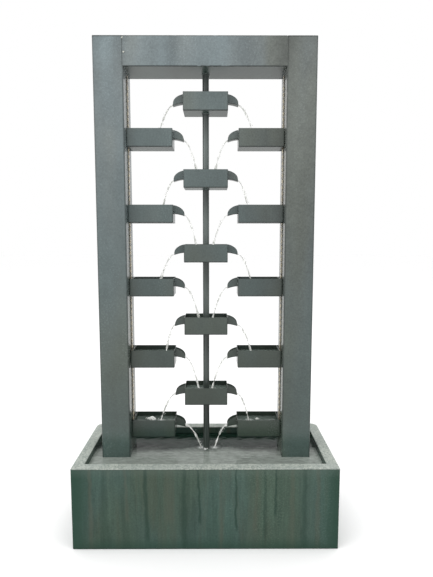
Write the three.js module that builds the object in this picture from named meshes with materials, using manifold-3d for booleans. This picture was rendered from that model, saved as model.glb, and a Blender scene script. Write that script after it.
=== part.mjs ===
// Garden cascade fountain: a portal frame of two square posts and a header stands in an open
// basin. Five double-spouted bowls ride on a central riser pole, and five bowls hang on the inner
// face of each post. Water climbs the pole from a submerged pump and steps down from bowl to bowl.
// Units are millimetres, +Z is up, +X is to the right seen from the front, and the origin lies on
// the floor under the middle of the basin.

import * as THREE from 'three';
import { mergeVertices } from 'three/addons/utils/BufferGeometryUtils.js';
import Module from 'manifold-3d';

const wasm = await Module();
wasm.setup();

// ---------------------------------------------------------------- driving dimensions

const GAP = 0.3; // clearance left between pieces that rest on each other
const SHEET = 1.5; // thickness of the folded steel sheet

const BASIN = {
  width: 708,
  depth: 315,
  height: 224,
  rim: 30, // width of the flat rim turned inwards
  lip: 26, // depth of the lip folded down from the rim's inner edge
  hem: 16, // width of the flange under the walls that the basin stands on
  floorRise: 10, // height of the floor plate's underside
  frontRadius: 3,
  rearRadius: 20,
};

const FRAME = {
  width: 590,
  depth: 108,
  frontY: -46,
  top: 1350,
  postFace: 80,
  headerHeight: 78,
  cornerRadius: 3,
};

const CASCADE = {
  midY: 20, // vertical plane shared by the pole, the bowls and the light strips
  tiers: 5,
  pitch: 205, // height from one tier to the next
  centreRim: 1217, // rim height of the highest centre bowl
  sideRim: 1121.5, // rim height of the highest side bowls
};

const BOWL = {
  height: 50,
  centreLength: 122,
  centreDepth: 76,
  sideDepth: 74,
  sideInnerEnd: 90, // distance from the fountain's middle to a side bowl's spout wall
  stripChannel: 5.5, // space behind a side bowl's end wall, where the light strip passes
};

const SPOUT = {
  reach: 28.5,
  width: 22,
  rootHeight: 24,
  tipDrop: 30, // depth of the tip's underside below the rim
  lipDrop: 28, // depth at which the cheeks' top edge ends
};

const POLE = {
  radius: 9,
  bore: 7.5,
  bottom: 150,
  intoHeader: 14, // how far the pole stands up inside the header
  outletRadius: 3,
  outletDrop: 24, // depth of the outlets below the top bowl's rim
  outlets: 4,
  plugDepth: 12,
  plugCap: 3,
};

const STRIP = {
  width: 12,
  thickness: 3.5,
  chamfer: 1,
  bottom: 290,
  headerGap: 8,
  leadRadius: 2.5,
};

const PUMP = {
  rotorAxis: { y: 0, z: 50 },
  motorBack: -28,
  motorFront: 34,
  halfWidth: 31,
  bottom: 20,
  top: 80,
  cornerRadius: 6,
  footRadius: 7,
  footInset: 10,
  glandRadius: 6, // where the lead enters the motor's back
  wellRadius: 13.5,
  backWall: 8, // material behind the rotor's well
  shaftSeat: 4, // how far the shaft's seat goes into that material
  shaftRadius: 2,
};

const VOLUTE = {
  length: 20,
  halfSize: 23,
  chamberRadius: 19,
  inletRadius: 8,
  spiderRadius: 4,
  spiderArm: 3,
  nozzleX: 45,
  nozzleTop: 112,
  nozzleRadius: 9,
  nozzleBore: 6,
};

const ROTOR = {
  discRadius: 16,
  discThickness: 2,
  hubRadius: 4.5,
  blades: 6,
  bladeThickness: 1.6,
  bladeLength: 12,
  running: 0.06, // clearance on the shaft
};

const STRAINER = { front: 92, wall: 2, inset: 2, slots: 7, slotHeight: 2.4, slotMargin: 8 };

const DIAL = {
  radius: 17,
  thickness: 3,
  grip: 6, // how far the grip stands proud of the disc
  gripHalfLength: 13,
  spigotRadius: 2.9,
  portRadius: 3.2,
  portCircle: 10.5,
  ports: 4,
};

const HOSE = {
  outer: 12,
  inner: 9.7,
  overlap: 16, // length pushed over the nozzle and over the pole's end
  bendPull: 20, // how strongly the curve keeps upright at both ends
  clampBand: 1,
  clampHeight: 9,
};

const FOOT = {
  leg: 40,
  plate: 3,
  width: 72,
  boltHole: 3.3,
  boltRadius: 3,
  headRadius: 5.5,
  headHeight: 4,
  postShank: 12,
  floorShank: 10,
  postBoltZ: 36,
  floorBoltX: 192,
};

/** Where the mains lead leaves the basin, just above the water line of the rear wall. */
const LEAD_HOLE = { x: 150, z: 210, radius: 7, grommetRadius: 9, grommetBore: 3.4 };

const FLOOR_TOP = BASIN.floorRise + SHEET;
const INNER_FACE = FRAME.width / 2 - FRAME.postFace;
const HEADER_UNDERSIDE = FRAME.top - FRAME.headerHeight;
const STRIP_Y = FRAME.frontY + FRAME.depth / 2;

// ---------------------------------------------------------------- finishes

const FINISHES = {
  patina: { color: 0x7c8888, roughness: 0.55, metalness: 0.35 },
  basinPaint: { color: 0x51645b, roughness: 0.6, metalness: 0.3 },
  pole: { color: 0x5b6667, roughness: 0.45, metalness: 0.45 },
  sleeve: { color: 0xa79f90, roughness: 0.35, metalness: 0.0 },
  blackPlastic: { color: 0x1c1f20, roughness: 0.5, metalness: 0.0 },
  whitePlastic: { color: 0xd8dad6, roughness: 0.4, metalness: 0.0 },
  ceramic: { color: 0xe6e2d8, roughness: 0.25, metalness: 0.0 },
  rubber: { color: 0x262626, roughness: 0.85, metalness: 0.0 },
  clearTube: { color: 0xb9c4c2, roughness: 0.3, metalness: 0.0 },
  zinc: { color: 0xa9adb0, roughness: 0.35, metalness: 0.9 },
};

// ---------------------------------------------------------------- solids and booleans

/** Turns a closed three.js geometry into a Manifold solid. */
function solid(geometry) {
  const bare = geometry.index ? geometry.toNonIndexed() : geometry.clone();
  bare.deleteAttribute('normal');
  bare.deleteAttribute('uv');
  const merged = mergeVertices(bare, 1e-4);
  return new wasm.Manifold(new wasm.Mesh({
    numProp: 3,
    vertProperties: new Float32Array(merged.attributes.position.array),
    triVerts: new Uint32Array(merged.index.array),
  }));
}

/** Turns a Manifold solid back into a three.js geometry. */
function geometryOf(manifold) {
  const mesh = manifold.getMesh();
  const geometry = new THREE.BufferGeometry();
  geometry.setAttribute('position', new THREE.BufferAttribute(mesh.vertProperties, 3));
  geometry.setIndex(new THREE.BufferAttribute(mesh.triVerts, 1));
  geometry.computeVertexNormals();
  return geometry;
}

/** A box given by its lowest and highest corners. */
function block(low, high) {
  const size = high.map((value, axis) => value - low[axis]);
  const geometry = new THREE.BoxGeometry(...size);
  geometry.translate(...low.map((value, axis) => value + size[axis] / 2));
  return solid(geometry);
}

/** A cylinder about the Z axis from z = 0, turned to run along the named axis, then moved. */
function rod(radius, length, along, at, sides = 24) {
  const geometry = new THREE.CylinderGeometry(radius, radius, length, sides);
  geometry.rotateX(Math.PI / 2);
  geometry.translate(0, 0, length / 2);
  if (along === 'x') geometry.rotateY(Math.PI / 2);
  if (along === 'y') geometry.rotateX(-Math.PI / 2);
  geometry.translate(...at);
  return solid(geometry);
}

/** A turned solid about the Z axis, from a profile of [radius, height] points that closes. */
function turned(profile, sides) {
  const points = [...profile, profile[0]].map(([r, z]) => new THREE.Vector2(r, z));
  const geometry = new THREE.LatheGeometry(points, sides);
  geometry.rotateX(Math.PI / 2);
  return solid(geometry);
}

/** An outline extruded upwards between two heights. */
function prism(outline, low, high) {
  const geometry = new THREE.ExtrudeGeometry(outline, {
    depth: high - low,
    bevelEnabled: false,
    curveSegments: 3,
  });
  geometry.translate(0, 0, low);
  return solid(geometry);
}

/** A rectangle with one corner radius at the front (low Y) and another at the rear (high Y). */
function roundedRectangle(x0, x1, y0, y1, frontRadius, rearRadius = frontRadius) {
  const f = Math.max(frontRadius, 0.05);
  const r = Math.max(rearRadius, 0.05);
  const outline = new THREE.Shape();
  outline.moveTo(x0 + f, y0);
  outline.lineTo(x1 - f, y0);
  outline.absarc(x1 - f, y0 + f, f, -Math.PI / 2, 0);
  outline.lineTo(x1, y1 - r);
  outline.absarc(x1 - r, y1 - r, r, 0, Math.PI / 2);
  outline.lineTo(x0 + r, y1);
  outline.absarc(x0 + r, y1 - r, r, Math.PI / 2, Math.PI);
  outline.lineTo(x0, y0 + f);
  outline.absarc(x0 + f, y0 + f, f, Math.PI, 1.5 * Math.PI);
  return outline;
}

const fountain = new THREE.Group();
fountain.name = 'cascade_fountain';

/** Adds a named piece with its finish to the fountain. */
function piece(name, shape, finish) {
  const mesh = new THREE.Mesh(geometryOf(shape), new THREE.MeshStandardMaterial(FINISHES[finish]));
  mesh.name = name;
  fountain.add(mesh);
  return mesh;
}

// ---------------------------------------------------------------- basin

/** The basin's outline, drawn in by the same distance all round. */
function basinOutline(inset) {
  return roundedRectangle(
    -BASIN.width / 2 + inset,
    BASIN.width / 2 - inset,
    -BASIN.depth / 2 + inset,
    BASIN.depth / 2 - inset,
    BASIN.frontRadius - inset,
    BASIN.rearRadius - inset,
  );
}

function buildBasin() {
  const rimUnderside = BASIN.height - SHEET;
  const lipBottom = BASIN.height - BASIN.lip;
  let shell = prism(basinOutline(0), 0, BASIN.height);
  shell = shell.subtract(prism(basinOutline(SHEET), FLOOR_TOP, lipBottom));
  const pocket = prism(basinOutline(SHEET), lipBottom - 1, rimUnderside)
    .subtract(prism(basinOutline(BASIN.rim - SHEET), lipBottom - 2, BASIN.height));
  shell = shell.subtract(pocket);
  shell = shell.subtract(prism(basinOutline(BASIN.rim), FLOOR_TOP, BASIN.height + 1));
  shell = shell.subtract(prism(basinOutline(SHEET), SHEET, BASIN.floorRise));
  shell = shell.subtract(prism(basinOutline(BASIN.hem), -1, BASIN.floorRise));
  const leadHole = rod(LEAD_HOLE.radius, 12, 'y', [LEAD_HOLE.x, BASIN.depth / 2 - 6, LEAD_HOLE.z]);
  shell = shell.subtract(leadHole);
  for (const side of [-1, 1]) {
    const bolt = [side * FOOT.floorBoltX, CASCADE.midY, 0];
    shell = shell.subtract(rod(FOOT.boltHole, FLOOR_TOP + 1, 'z', bolt, 16));
  }
  piece('basin', shell, 'basinPaint');
}

/** A rubber ring that lines the lead's hole, with its groove over the sheet. */
function buildLeadGrommet() {
  const wallMid = BASIN.depth / 2 - SHEET / 2;
  const groove = SHEET / 2 + GAP;
  const [innerFlange, outerFlange] = [2, 1];
  const { grommetBore: bore, grommetRadius: radius } = LEAD_HOLE;
  const waist = LEAD_HOLE.radius - GAP;
  const ring = turned([
    [bore, -groove - innerFlange],
    [radius, -groove - innerFlange],
    [radius, -groove],
    [waist, -groove],
    [waist, groove],
    [radius, groove],
    [radius, groove + outerFlange],
    [bore, groove + outerFlange],
  ], 20);
  const mesh = piece('lead_grommet', ring, 'rubber');
  mesh.rotation.x = -Math.PI / 2;
  mesh.position.set(LEAD_HOLE.x, wallMid, LEAD_HOLE.z);
}

// ---------------------------------------------------------------- portal frame

/** One post: a folded box section, closed at the top, with holes for its bolt and light lead. */
function buildPost(name, side) {
  const inner = side * INNER_FACE;
  const outer = side * (FRAME.width / 2);
  const [x0, x1] = [Math.min(inner, outer), Math.max(inner, outer)];
  const y0 = FRAME.frontY;
  const y1 = y0 + FRAME.depth;
  const r = FRAME.cornerRadius;
  const bottom = FLOOR_TOP + GAP;
  let post = prism(roundedRectangle(x0, x1, y0, y1, r), bottom, FRAME.top);
  post = post.subtract(prism(
    roundedRectangle(x0 + SHEET, x1 - SHEET, y0 + SHEET, y1 - SHEET, r - SHEET),
    bottom - 1,
    FRAME.top - SHEET,
  ));
  const wallStart = inner - 5;
  post = post.subtract(rod(FOOT.boltHole, 10, 'x', [wallStart, CASCADE.midY, FOOT.postBoltZ], 16));
  const leadZ = HEADER_UNDERSIDE - STRIP.headerGap / 2;
  post = post.subtract(rod(STRIP.leadRadius, 10, 'x', [wallStart, STRIP_Y, leadZ], 12));
  piece(name, post, 'patina');
}

/** The header: a box section open at both ends, where it is welded between the posts. */
function buildHeader() {
  const end = INNER_FACE - GAP;
  const y0 = FRAME.frontY;
  const y1 = y0 + FRAME.depth;
  let header = block([-end, y0, HEADER_UNDERSIDE], [end, y1, FRAME.top]);
  header = header.subtract(block(
    [-end - 1, y0 + SHEET, HEADER_UNDERSIDE + SHEET],
    [end + 1, y1 - SHEET, FRAME.top - SHEET],
  ));
  const poleHole = rod(POLE.radius + GAP, 8, 'z', [0, CASCADE.midY, HEADER_UNDERSIDE - 3]);
  piece('header', header.subtract(poleHole), 'patina');
}

/** An angle bracket that holds a post's foot down on the basin floor. */
function buildFootBracket(name, side) {
  const face = INNER_FACE - GAP;
  const bottom = FLOOR_TOP + GAP;
  const y0 = CASCADE.midY - FOOT.width / 2;
  const y1 = CASCADE.midY + FOOT.width / 2;
  const upright = block([face - FOOT.plate, y0, bottom], [face, y1, bottom + FOOT.leg]);
  const flat = block([face - FOOT.leg, y0, bottom], [face, y1, bottom + FOOT.plate]);
  let bracket = upright.add(flat);
  bracket = bracket.subtract(
    rod(FOOT.boltHole, 10, 'x', [face - 6, CASCADE.midY, FOOT.postBoltZ], 16),
  );
  bracket = bracket.subtract(
    rod(FOOT.boltHole, 10, 'z', [FOOT.floorBoltX, CASCADE.midY, bottom - 3], 16),
  );
  piece(name, side > 0 ? bracket : bracket.mirror([1, 0, 0]), 'zinc');
}

/** A hexagon bolt with its head at z = 0 upwards and its shank downwards. */
function hexBolt(shank) {
  const head = rod(FOOT.headRadius, FOOT.headHeight, 'z', [0, 0, 0], 6);
  return head.add(rod(FOOT.boltRadius, shank + 1, 'z', [0, 0, -shank], 16));
}

function buildFootBolts(prefix, side) {
  const face = INNER_FACE - GAP - FOOT.plate - GAP;
  const intoPost = piece(`${prefix}_post_bolt`, hexBolt(FOOT.postShank), 'zinc');
  intoPost.rotation.y = -side * Math.PI / 2;
  intoPost.position.set(side * face, CASCADE.midY, FOOT.postBoltZ);
  const intoFloor = piece(`${prefix}_floor_bolt`, hexBolt(FOOT.floorShank), 'zinc');
  const seat = FLOOR_TOP + GAP + FOOT.plate + GAP;
  intoFloor.position.set(side * FOOT.floorBoltX, CASCADE.midY, seat);
}

// ---------------------------------------------------------------- riser pole

/** The pole: a tube from the pump hose up into the header, with outlet holes in the top bowl. */
function buildRiserPole() {
  const top = HEADER_UNDERSIDE + POLE.intoHeader;
  let tube = turned([
    [POLE.bore, POLE.bottom],
    [POLE.radius, POLE.bottom],
    [POLE.radius, top],
    [POLE.bore, top],
  ], 32);
  const outletZ = CASCADE.centreRim - POLE.outletDrop;
  for (let i = 0; i < POLE.outlets; i += 1) {
    const hole = rod(POLE.outletRadius, POLE.radius + 4, 'x', [0, 0, 0], 12)
      .rotate([0, 0, 45 + (360 / POLE.outlets) * i])
      .translate([0, 0, outletZ]);
    tube = tube.subtract(hole);
  }
  piece('riser_pole', tube, 'pole').position.set(0, CASCADE.midY, 0);

  const cap = turned([
    [0, top - POLE.plugDepth],
    [POLE.bore - GAP, top - POLE.plugDepth],
    [POLE.bore - GAP, top + GAP],
    [POLE.radius, top + GAP],
    [POLE.radius, top + POLE.plugCap],
    [0, top + POLE.plugCap],
  ], 32);
  piece('riser_plug', cap, 'rubber').position.set(0, CASCADE.midY, 0);
}

// ---------------------------------------------------------------- bowls and spouts

const NOTCH = SPOUT.width - 2 * SHEET;
const NOTCH_DROP = SPOUT.rootHeight - SHEET;

/** An opening through an end wall, as wide as the chute of the spout that starts there. */
function spoutNotch(x, rim) {
  return block(
    [x - 3, CASCADE.midY - NOTCH / 2, rim - NOTCH_DROP],
    [x + 3, CASCADE.midY + NOTCH / 2, rim + 1],
  );
}

/** A centre bowl: an open box round the pole with a spout notch in each end wall. */
function buildCentreBowl(name, rim) {
  const halfLength = BOWL.centreLength / 2;
  const y0 = CASCADE.midY - BOWL.centreDepth / 2;
  const y1 = CASCADE.midY + BOWL.centreDepth / 2;
  const base = rim - BOWL.height;
  let bowl = block([-halfLength, y0, base], [halfLength, y1, rim]);
  bowl = bowl.subtract(block(
    [-halfLength + SHEET, y0 + SHEET, base + SHEET],
    [halfLength - SHEET, y1 - SHEET, rim + 1],
  ));
  bowl = bowl.subtract(spoutNotch(-halfLength, rim)).subtract(spoutNotch(halfLength, rim));
  bowl = bowl.subtract(rod(POLE.radius + GAP, 8, 'z', [0, CASCADE.midY, base - 3]));
  piece(name, bowl, 'patina');
}

/** A side bowl: its front and rear walls run on past the end wall and meet the post. */
function buildSideBowl(name, rim, side) {
  const spoutWall = BOWL.sideInnerEnd;
  const face = INNER_FACE - GAP;
  const endWall = INNER_FACE - BOWL.stripChannel;
  const y0 = CASCADE.midY - BOWL.sideDepth / 2;
  const y1 = CASCADE.midY + BOWL.sideDepth / 2;
  const base = rim - BOWL.height;
  let bowl = block([spoutWall, y0, base], [face, y1, rim]);
  bowl = bowl.subtract(block(
    [spoutWall + SHEET, y0 + SHEET, base + SHEET],
    [endWall - SHEET, y1 - SHEET, rim + 1],
  ));
  bowl = bowl.subtract(block([endWall, y0 + SHEET, base - 1], [face + 1, y1 - SHEET, rim + 1]));
  bowl = bowl.subtract(spoutNotch(spoutWall, rim));
  piece(name, side > 0 ? bowl : bowl.mirror([1, 0, 0]), 'patina');
}

/** The cheek's outline from the bowl's wall outwards, with z = 0 at the rim. */
function cheekOutline() {
  const outline = new THREE.Shape();
  outline.moveTo(0, 0);
  outline.bezierCurveTo(14, -2.5, 31, -11.5, SPOUT.reach, -SPOUT.lipDrop);
  outline.lineTo(SPOUT.reach - 1, -SPOUT.tipDrop);
  outline.quadraticCurveTo(SPOUT.reach / 2, -SPOUT.rootHeight - 1, 0, -SPOUT.rootHeight);
  return outline;
}

/** The room inside the chute, one sheet above the floor and open at the top and the tip. */
function chuteOutline() {
  const floor = -SPOUT.rootHeight + SHEET;
  const tip = -SPOUT.tipDrop + SHEET;
  const outline = new THREE.Shape();
  outline.moveTo(-1, 2);
  outline.lineTo(-1, floor);
  outline.lineTo(0, floor);
  outline.quadraticCurveTo(SPOUT.reach / 2, floor - 1, SPOUT.reach - 1, tip);
  outline.lineTo(SPOUT.reach + 3, tip - 1);
  outline.lineTo(SPOUT.reach + 3, 2);
  return outline;
}

/** An outline in the plane of reach and height, extruded across the chute's width. */
function acrossChute(outline, width) {
  const geometry = new THREE.ExtrudeGeometry(outline, {
    depth: width,
    bevelEnabled: false,
    curveSegments: 6,
  });
  geometry.translate(0, 0, -width / 2);
  geometry.rotateX(Math.PI / 2);
  return solid(geometry);
}

/** A spout: two curved cheeks and a floor that slopes gently to the tip. */
function buildSpout(name, wallX, rim, direction) {
  const spout = acrossChute(cheekOutline(), SPOUT.width)
    .subtract(acrossChute(chuteOutline(), NOTCH));
  const mesh = piece(name, spout, 'patina');
  mesh.rotation.z = direction > 0 ? 0 : Math.PI;
  mesh.position.set(wallX + direction * GAP, CASCADE.midY, rim);
}

function buildTier(tier) {
  const centreRim = CASCADE.centreRim - CASCADE.pitch * (tier - 1);
  const sideRim = CASCADE.sideRim - CASCADE.pitch * (tier - 1);
  const centreWall = BOWL.centreLength / 2;
  buildCentreBowl(`centre_bowl_${tier}`, centreRim);
  buildSpout(`centre_bowl_${tier}_left_spout`, -centreWall, centreRim, -1);
  buildSpout(`centre_bowl_${tier}_right_spout`, centreWall, centreRim, 1);
  buildSideBowl(`left_bowl_${tier}`, sideRim, -1);
  buildSpout(`left_bowl_${tier}_spout`, -BOWL.sideInnerEnd, sideRim, 1);
  buildSideBowl(`right_bowl_${tier}`, sideRim, 1);
  buildSpout(`right_bowl_${tier}_spout`, BOWL.sideInnerEnd, sideRim, -1);
}

// ---------------------------------------------------------------- light strips

/** A sleeved light strip down the middle of a post's inner face, behind the side bowls. */
function buildLightStrip(name, side) {
  const back = INNER_FACE - GAP;
  const front = back - STRIP.thickness;
  const halfWidth = STRIP.width / 2;
  const { chamfer } = STRIP;
  const outline = new THREE.Shape();
  outline.moveTo(back, -halfWidth);
  outline.lineTo(back, halfWidth);
  outline.lineTo(front + chamfer, halfWidth);
  outline.lineTo(front, halfWidth - chamfer);
  outline.lineTo(front, -halfWidth + chamfer);
  outline.lineTo(front + chamfer, -halfWidth);
  const strip = prism(outline, STRIP.bottom, HEADER_UNDERSIDE - STRIP.headerGap)
    .translate([0, STRIP_Y, 0]);
  piece(name, side > 0 ? strip : strip.mirror([1, 0, 0]), 'sleeve');
}

// ---------------------------------------------------------------- submersible pump

/** The motor housing: a moulded block on four feet with a round well for the rotor. */
function buildPumpHousing() {
  const { y, z } = PUMP.rotorAxis;
  const w = PUMP.halfWidth;
  const outline = roundedRectangle(PUMP.motorBack, PUMP.motorFront, y - w, y + w, PUMP.cornerRadius);
  let housing = prism(outline, PUMP.bottom, PUMP.top);
  const footBottom = FLOOR_TOP + GAP;
  const footHeight = PUMP.bottom - footBottom + 2;
  for (const footX of [PUMP.motorBack + PUMP.footInset, PUMP.motorFront - PUMP.footInset]) {
    for (const footY of [y - w + PUMP.footInset, y + w - PUMP.footInset]) {
      housing = housing.add(rod(PUMP.footRadius, footHeight, 'z', [footX, footY, footBottom], 16));
    }
  }
  const wellStart = PUMP.motorBack + PUMP.backWall;
  const wellDepth = PUMP.motorFront - wellStart;
  housing = housing.subtract(rod(PUMP.wellRadius, wellDepth + 1, 'x', [wellStart, y, z], 32));
  const seat = [PUMP.motorBack + PUMP.shaftSeat, y, z];
  housing = housing.subtract(rod(PUMP.shaftRadius + GAP, PUMP.backWall, 'x', seat, 16));
  const gland = [PUMP.motorBack - 8, y, PUMP.top - 2 * PUMP.glandRadius];
  housing = housing.add(rod(PUMP.glandRadius, 10, 'x', gland, 16));
  piece('pump_housing', housing, 'blackPlastic');
}

/** The volute: the impeller's chamber, with its inlet in front and its nozzle upwards. */
function buildVolute() {
  const { y, z } = PUMP.rotorAxis;
  const x0 = PUMP.motorFront + GAP;
  const x1 = x0 + VOLUTE.length;
  const half = VOLUTE.halfSize;
  let volute = block([x0, y - half, z - half], [x1, y + half, z + half]);
  const stem = VOLUTE.nozzleTop - z - half + 1;
  const stemFoot = [VOLUTE.nozzleX, y, z + half - 1];
  volute = volute.add(rod(VOLUTE.nozzleRadius, stem, 'z', stemFoot, 32));
  const chamberDepth = VOLUTE.length - 2;
  volute = volute.subtract(rod(VOLUTE.chamberRadius, chamberDepth, 'x', [x0 - 1, y, z], 40));
  volute = volute.subtract(rod(VOLUTE.inletRadius, 6, 'x', [x1 - 4, y, z], 24));
  const bore = VOLUTE.nozzleTop - z;
  volute = volute.subtract(rod(VOLUTE.nozzleBore, bore + 1, 'z', [VOLUTE.nozzleX, y, z + 12], 24));
  const arm = VOLUTE.spiderArm;
  const armReach = VOLUTE.inletRadius + 1;
  const spider = block([x1 - arm, y - armReach, z - arm / 2], [x1, y + armReach, z + arm / 2])
    .add(rod(VOLUTE.spiderRadius, arm, 'x', [x1 - arm, y, z], 16))
    .subtract(rod(PUMP.shaftRadius + GAP, arm, 'x', [x1 - arm - 1, y, z], 16));
  piece('pump_volute', volute.add(spider), 'blackPlastic');
}

/** The rotor: a magnet cylinder and a bladed impeller that spin together on the shaft. */
function buildRotor() {
  const { y, z } = PUMP.rotorAxis;
  const back = PUMP.motorBack + PUMP.backWall + 2;
  const front = PUMP.motorFront + 2;
  const bladeEnd = front + ROTOR.bladeLength;
  let rotor = rod(PUMP.wellRadius - 1, front - back, 'x', [back, 0, 0], 32);
  rotor = rotor.add(rod(ROTOR.discRadius, ROTOR.discThickness, 'x', [front, 0, 0], 32));
  rotor = rotor.add(rod(ROTOR.hubRadius, ROTOR.bladeLength - 1, 'x', [front, 0, 0], 16));
  const half = ROTOR.bladeThickness / 2;
  for (let i = 0; i < ROTOR.blades; i += 1) {
    const blade = block([front + 1, 3, -half], [bladeEnd, ROTOR.discRadius, half]);
    rotor = rotor.add(blade.rotate([(360 / ROTOR.blades) * i, 0, 0]));
  }
  const shaftHole = rod(PUMP.shaftRadius + ROTOR.running, 90, 'x', [back - 5, 0, 0], 32);
  piece('pump_rotor', rotor.subtract(shaftHole), 'whitePlastic').position.set(0, y, z);

  const shaftStart = PUMP.motorBack + PUMP.shaftSeat + GAP;
  const shaftEnd = PUMP.motorFront + GAP + VOLUTE.length - VOLUTE.spiderArm / 2;
  const shaft = rod(PUMP.shaftRadius, shaftEnd - shaftStart, 'x', [shaftStart, y, z], 32);
  piece('rotor_shaft', shaft, 'ceramic');
}

/** A round hole through the strainer's or the dial's face, turned to the port's place. */
function dialPort(x, index) {
  const angle = 45 + (360 / DIAL.ports) * index;
  return rod(DIAL.portRadius, 8, 'x', [x, 0, DIAL.portCircle], 12).rotate([angle, 0, 0]);
}

/** The strainer: a slotted box that slides over the volute from the front. */
function buildStrainer() {
  const { y, z } = PUMP.rotorAxis;
  const { wall, inset, slots, slotMargin } = STRAINER;
  const w = PUMP.halfWidth - inset;
  const x0 = PUMP.motorFront + 2 * GAP;
  const x1 = STRAINER.front;
  const z0 = PUMP.bottom + inset;
  const z1 = PUMP.top - inset;
  let strainer = block([x0, y - w, z0], [x1, y + w, z1]);
  strainer = strainer.subtract(
    block([x0 - 1, y - w + wall, z0 + wall], [x1 - wall, y + w - wall, z1 - wall]),
  );
  const nozzleSlot = VOLUTE.nozzleRadius + 1.5;
  strainer = strainer.subtract(
    block([x0 - 1, y - nozzleSlot, z1 - 4], [VOLUTE.nozzleX + nozzleSlot, y + nozzleSlot, z1 + 1]),
  );
  const half = STRAINER.slotHeight / 2;
  const slotStart = x0 + VOLUTE.length + 2;
  const slotEnd = x1 - 6;
  for (let i = 0; i < slots; i += 1) {
    const slotZ = z0 + slotMargin + (i * (z1 - z0 - 2 * slotMargin)) / (slots - 1);
    strainer = strainer.subtract(
      block([slotStart, y - w - 1, slotZ - half], [slotEnd, y + w + 1, slotZ + half]),
    );
  }
  strainer = strainer.subtract(rod(DIAL.spigotRadius + 0.4, 6, 'x', [x1 - 4, y, z], 16));
  for (let i = 0; i < DIAL.ports; i += 1) {
    strainer = strainer.subtract(dialPort(x1 - 4, i).translate([0, y, z]));
  }
  piece('pump_strainer', strainer, 'blackPlastic');
}

/** The flow dial: turned by its grip, it covers or clears the ports in the strainer. */
function buildFlowDial() {
  const { y, z } = PUMP.rotorAxis;
  const back = STRAINER.front + GAP;
  let dial = rod(DIAL.radius, DIAL.thickness, 'x', [back, 0, 0], 32);
  for (let i = 0; i < DIAL.ports; i += 1) {
    dial = dial.subtract(dialPort(back - 2, i));
  }
  dial = dial.add(rod(DIAL.spigotRadius, 8, 'x', [back - 6, 0, 0], 16));
  const gripFront = back + DIAL.thickness + DIAL.grip;
  dial = dial.add(
    block([back + 1, -1.5, -DIAL.gripHalfLength], [gripFront, 1.5, DIAL.gripHalfLength]),
  );
  piece('flow_dial', dial, 'whitePlastic').position.set(0, y, z);
}

/** The hose: pushed over the pump's nozzle below and over the pole's end above. */
function buildSupplyHose() {
  const { y } = PUMP.rotorAxis;
  const start = VOLUTE.nozzleTop - HOSE.overlap;
  const end = POLE.bottom + HOSE.overlap;
  const route = new THREE.CurvePath();
  const from = new THREE.Vector3(VOLUTE.nozzleX, y, start);
  const bendStart = new THREE.Vector3(VOLUTE.nozzleX, y, VOLUTE.nozzleTop - 2);
  const bendEnd = new THREE.Vector3(0, CASCADE.midY, POLE.bottom - 2);
  const to = new THREE.Vector3(0, CASCADE.midY, end);
  route.add(new THREE.LineCurve3(from, bendStart));
  route.add(new THREE.CubicBezierCurve3(
    bendStart,
    bendStart.clone().add(new THREE.Vector3(0, 0, HOSE.bendPull)),
    bendEnd.clone().add(new THREE.Vector3(0, 0, -HOSE.bendPull)),
    bendEnd,
  ));
  route.add(new THREE.LineCurve3(bendEnd, to));
  const section = new THREE.Shape();
  section.absarc(0, 0, HOSE.outer, 0, 2 * Math.PI);
  const bore = new THREE.Path();
  bore.absarc(0, 0, HOSE.inner, 0, 2 * Math.PI, true);
  section.holes.push(bore);
  const geometry = new THREE.ExtrudeGeometry(section, {
    steps: 18,
    curveSegments: 7,
    extrudePath: route,
  });
  piece('supply_hose', solid(geometry), 'clearTube');
}

/** A screw clamp: a band round the hose with its screw housing on one side. */
function buildHoseClamp(name, x, y, z) {
  const inner = HOSE.outer + GAP;
  const outer = inner + HOSE.clampBand;
  const band = turned([
    [inner, 0],
    [outer, 0],
    [outer, HOSE.clampHeight],
    [inner, HOSE.clampHeight],
  ], 32);
  const housing = block([-6, -outer - 6, 0.5], [6, -outer + 0.4, HOSE.clampHeight - 0.5]);
  const screw = rod(3, 18, 'x', [-9, -outer - 2.8, HOSE.clampHeight / 2], 6);
  piece(name, band.add(housing).add(screw), 'zinc').position.set(x, y, z);
}

// ---------------------------------------------------------------- assembly

buildBasin();
buildLeadGrommet();
buildPost('left_post', -1);
buildPost('right_post', 1);
buildHeader();
buildFootBracket('left_foot_bracket', -1);
buildFootBracket('right_foot_bracket', 1);
buildFootBolts('left_foot', -1);
buildFootBolts('right_foot', 1);
buildRiserPole();
for (let tier = 1; tier <= CASCADE.tiers; tier += 1) {
  buildTier(tier);
}
buildLightStrip('left_light_strip', -1);
buildLightStrip('right_light_strip', 1);
buildPumpHousing();
buildVolute();
buildRotor();
buildStrainer();
buildFlowDial();
buildSupplyHose();
buildHoseClamp('lower_hose_clamp', VOLUTE.nozzleX, PUMP.rotorAxis.y, VOLUTE.nozzleTop - 14);
buildHoseClamp('upper_hose_clamp', 0, CASCADE.midY, POLE.bottom + 4);

export default fountain;
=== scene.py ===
"""Looks of a garden cascade fountain: a folded-steel portal in an open basin, with fifteen bowls
that pass water down from one to the next. Lengths are metres, in the frame of the CAD model."""

import math

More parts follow.
